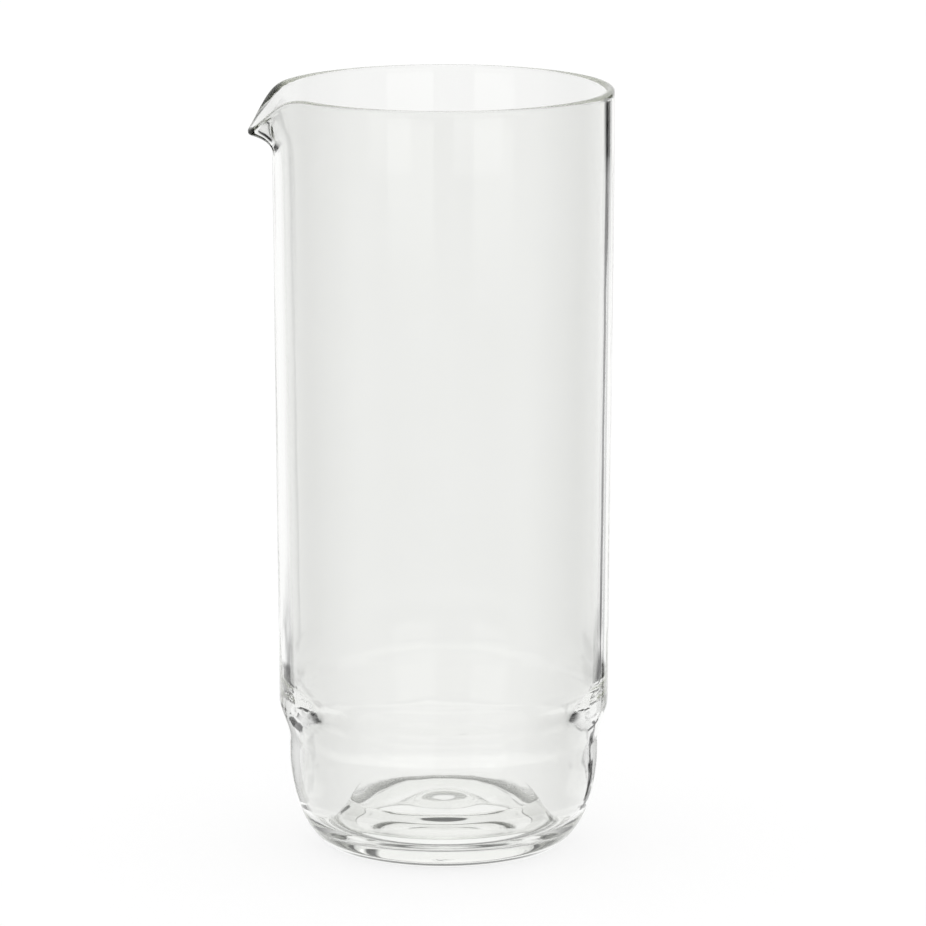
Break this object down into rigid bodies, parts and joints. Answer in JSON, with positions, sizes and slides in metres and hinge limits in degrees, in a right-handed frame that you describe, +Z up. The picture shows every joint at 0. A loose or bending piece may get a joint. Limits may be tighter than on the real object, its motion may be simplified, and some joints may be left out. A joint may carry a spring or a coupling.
{
  "type": "carafe",
  "caption": "Tall clear-glass carafe with a pinched pouring lip, a fire-polished brim, a stepped foot and a thick hollowed base, for serving water or wine.",
  "frame": {"origin": "on the carafe's axis, at the level of the ring that it stands on", "axes": "+Z up along the axis, -X towards the tip of the spout"},
  "size_m": [0.102, 0.095, 0.215],
  "materials": {
    "clear_glass": "clear, fire-polished, faintly wavy"
  },
  "bodies": {
    "root": {"base": "clear_glass", "foot": "clear_glass", "body": "clear_glass", "rim": "clear_glass", "spout": "clear_glass"}
  },
  "joints": []
}
